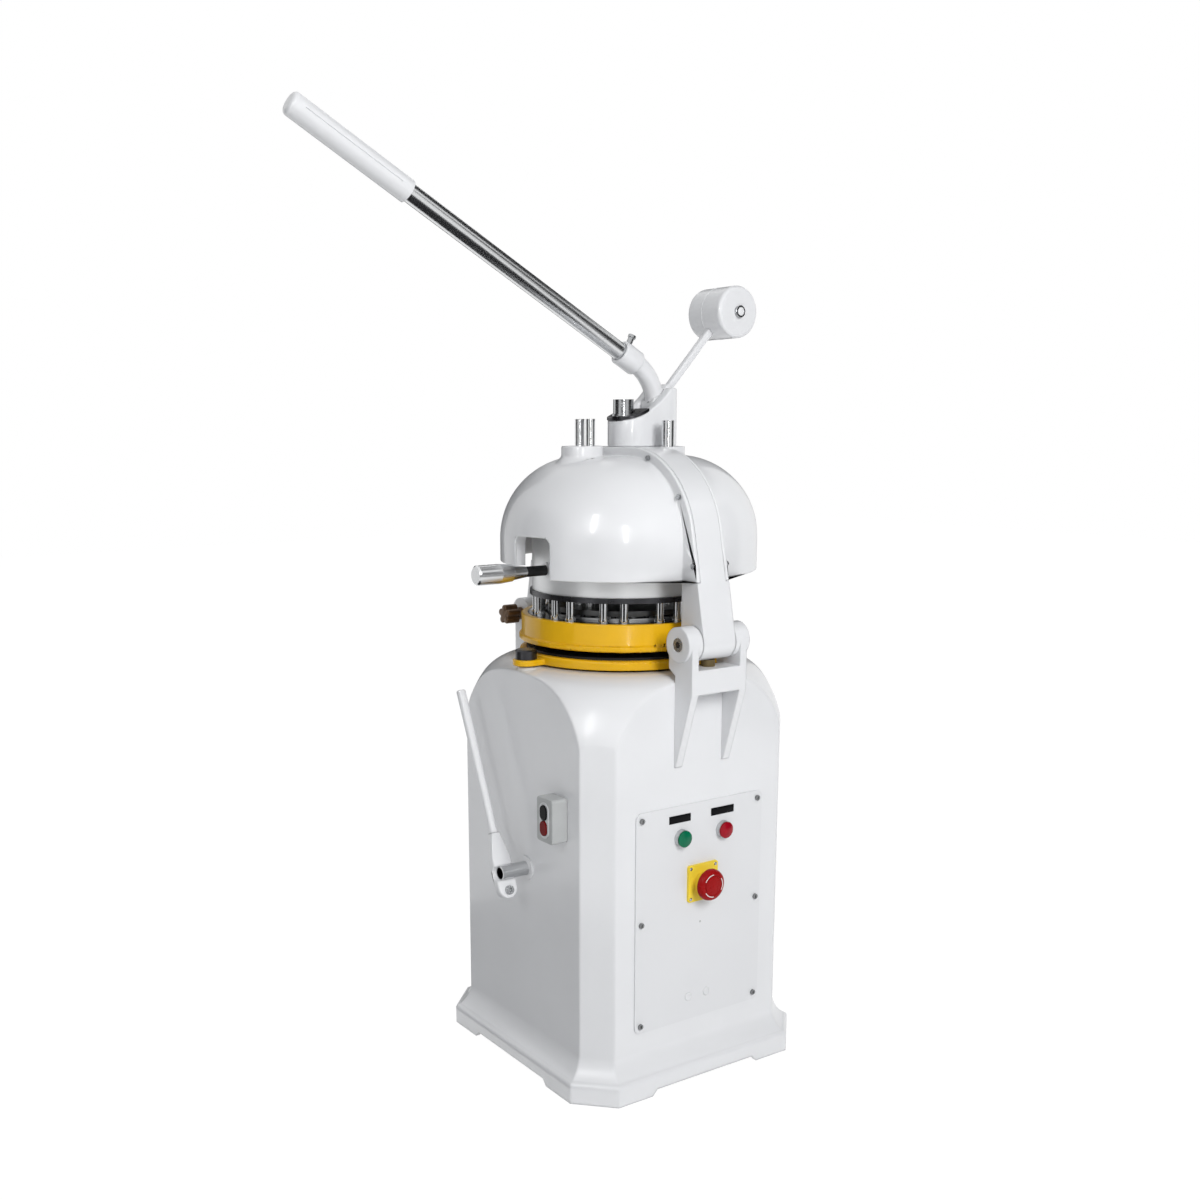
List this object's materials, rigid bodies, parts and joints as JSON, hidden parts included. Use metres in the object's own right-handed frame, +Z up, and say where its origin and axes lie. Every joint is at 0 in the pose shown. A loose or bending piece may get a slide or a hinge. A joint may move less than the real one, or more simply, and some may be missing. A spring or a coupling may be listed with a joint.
{
  "type": "dough divider rounder",
  "caption": "Floor-standing dough divider rounder: a pedestal with an orbiting table, a tilting domed head with press, knives and counterweighted lever, and front controls.",
  "frame": {"origin": "Centre of the four anchor holes, on the floor plane under the feet.", "axes": "+Z up. -Y is the operator front with the rounding lever and the start and stop station. +X is the side with the access panel and the head hinge."},
  "size_m": [0.594, 0.9909, 1.798],
  "materials": {
    "white_paint": "satin paint on castings",
    "panel_paint": "satin paint",
    "bright_steel": "plain bright",
    "chrome": "polished",
    "satin_steel": "satin",
    "machined_steel": "machined",
    "dark_iron": "dark, satin",
    "yellow_ring": "satin yellow",
    "black_plastic": "matte",
    "bronze_paint": "satin dark bronze",
    "brown_rubber": "matte",
    "belt_rubber": "matte",
    "motor_paint": "painted",
    "press_metal": "machined",
    "grey_box": "satin",
    "yellow_plastic": "gloss",
    "red_plastic": "gloss",
    "green_lens": "gloss",
    "red_lens": "gloss"
  },
  "bodies": {
    "pedestal": {"pedestal": "white_paint", "access_panel": "panel_paint", "panel_screws": "bright_steel", "lamp_holders": "satin_steel", "green_lens": "green_lens", "red_lens": "red_lens", "estop_base": "yellow_plastic", "station_box": "grey_box", "hinge_bracket": "white_paint", "latch_bracket": "white_paint", "hinge_pin": "bright_steel", "stop_screw": "bright_steel", "stop_bumper": "brown_rubber", "latch_bumper": "brown_rubber", "drive_deck": "machined_steel", "deck_bolts": "bright_steel", "motor": "motor_paint", "drive_belt": "belt_rubber", "shaft_bush": "white_paint"},
    "crank": {"crank_shaft": "machined_steel", "large_pulley": "machined_steel"},
    "motor_drive": {"motor_pulley": "machined_steel"},
    "table": {"table_carrier": "machined_steel", "rounding_ring": "yellow_ring", "rounding_board": "black_plastic"},
    "guide_front": {"guide_eccentric_front": "dark_iron"},
    "guide_right": {"guide_eccentric_right": "dark_iron"},
    "guide_left": {"guide_eccentric_left": "dark_iron"},
    "rounding_lever": {"rounding_shaft": "chrome", "rounding_lever": "white_paint", "clamp_bolt": "bright_steel"},
    "head": {"bow": "white_paint", "front_cover": "white_paint", "rear_cover": "white_paint", "cover_screws": "bright_steel", "hanger_plate": "dark_iron", "guide_posts": "bright_steel", "dividing_ring": "yellow_ring", "chamber_ring": "machined_steel", "centre_column": "chrome", "column_nut": "bright_steel", "tower_collar": "dark_iron", "tower": "white_paint", "lever_pin": "bright_steel"},
    "cutter": {"cutting_drum": "satin_steel", "handle_bush": "black_plastic", "cutting_handle": "chrome"},
    "press": {"press_rods": "chrome", "press_plate": "press_metal"},
    "knives": {"knife_grid": "satin_steel"},
    "main_lever": {"lever_elbow": "white_paint", "set_pin": "bright_steel", "lever_tube": "chrome", "lever_grip": "white_paint", "weight_arm": "white_paint", "counterweight": "white_paint"},
    "clamp_knob": {"star_knob": "bronze_paint"},
    "start_button": {"start_button": "black_plastic"},
    "stop_button": {"stop_button": "red_plastic"},
    "stop_head": {"estop_head": "red_plastic"}
  },
  "joints": [
    {"name": "head_tilt", "type": "hinge", "parent": "pedestal", "child": "head", "pos_m": [0.264, 0, 0.868], "axis": [0, 1, 0], "range_deg": [0, 65]},
    {"name": "lever_pull", "type": "hinge", "parent": "head", "child": "main_lever", "pos_m": [0, 0.078, 1.3], "axis": [1, 0, 0], "range_deg": [0, 34]},
    {"name": "press_slide", "type": "slide", "parent": "head", "child": "press", "axis": [0, 0, -1], "range_m": [0, 0.03]},
    {"name": "cutter_turn", "type": "hinge", "parent": "head", "child": "cutter", "pos_m": [0, 0, 0.985], "axis": [0, 0, 1], "range_deg": [0, 12]},
    {"name": "knife_slide", "type": "slide", "parent": "press", "child": "knives", "axis": [0, 0, -1], "range_m": [0, 0.0165]},
    {"name": "crank_turn", "type": "hinge", "parent": "pedestal", "child": "crank", "pos_m": [0, 0, 0.7], "axis": [0, 0, 1], "continuous": true},
    {"name": "table_turn", "type": "hinge", "parent": "crank", "child": "table", "pos_m": [0, -0.008, 0.8], "axis": [0, 0, 1], "continuous": true},
    {"name": "guide_front_turn", "type": "hinge", "parent": "pedestal", "child": "guide_front", "pos_m": [0, -0.224, 0.8], "axis": [0, 0, 1], "continuous": true},
    {"name": "guide_right_turn", "type": "hinge", "parent": "pedestal", "child": "guide_right", "pos_m": [0.19399, 0.112, 0.8], "axis": [0, 0, 1], "continuous": true},
    {"name": "guide_left_turn", "type": "hinge", "parent": "pedestal", "child": "guide_left", "pos_m": [-0.19399, 0.112, 0.8], "axis": [0, 0, 1], "continuous": true},
    {"name": "motor_turn", "type": "hinge", "parent": "pedestal", "child": "motor_drive", "pos_m": [-0.165, 0, 0.63], "axis": [0, 0, 1], "continuous": true},
    {"name": "rounding_pull", "type": "hinge", "parent": "pedestal", "child": "rounding_lever", "pos_m": [0.022, -0.27, 0.409], "axis": [0, 1, 0], "range_deg": [0, 42]},
    {"name": "knob_turn", "type": "hinge", "parent": "pedestal", "child": "clamp_knob", "pos_m": [-0.264, -0.1, 0.868], "axis": [0, 1, 0], "continuous": true},
    {"name": "start_press", "type": "slide", "parent": "pedestal", "child": "start_button", "axis": [0, 1, 0], "range_m": [0, 0.003], "stiffness_N_per_m": 500, "springref_m": -0.001},
    {"name": "stop_press", "type": "slide", "parent": "pedestal", "child": "stop_button", "axis": [0, 1, 0], "range_m": [0, 0.003], "stiffness_N_per_m": 500, "springref_m": -0.001},
    {"name": "stop_head_press", "type": "slide", "parent": "pedestal", "child": "stop_head", "axis": [-1, 0, 0], "range_m": [0, 0.005]}
  ],
  "couplings": [
    {"joint": "press_slide", "follows": "lever_pull", "m_per_rad": 0.05},
    {"joint": "knife_slide", "follows": "cutter_turn", "m_per_rad": 0.0771},
    {"joint": "table_turn", "follows": "crank_turn", "ratio": -1},
    {"joint": "guide_front_turn", "follows": "crank_turn", "ratio": 1},
    {"joint": "guide_right_turn", "follows": "crank_turn", "ratio": 1},
    {"joint": "guide_left_turn", "follows": "crank_turn", "ratio": 1},
    {"joint": "motor_turn", "follows": "crank_turn", "ratio": 3.5256}
  ]
}
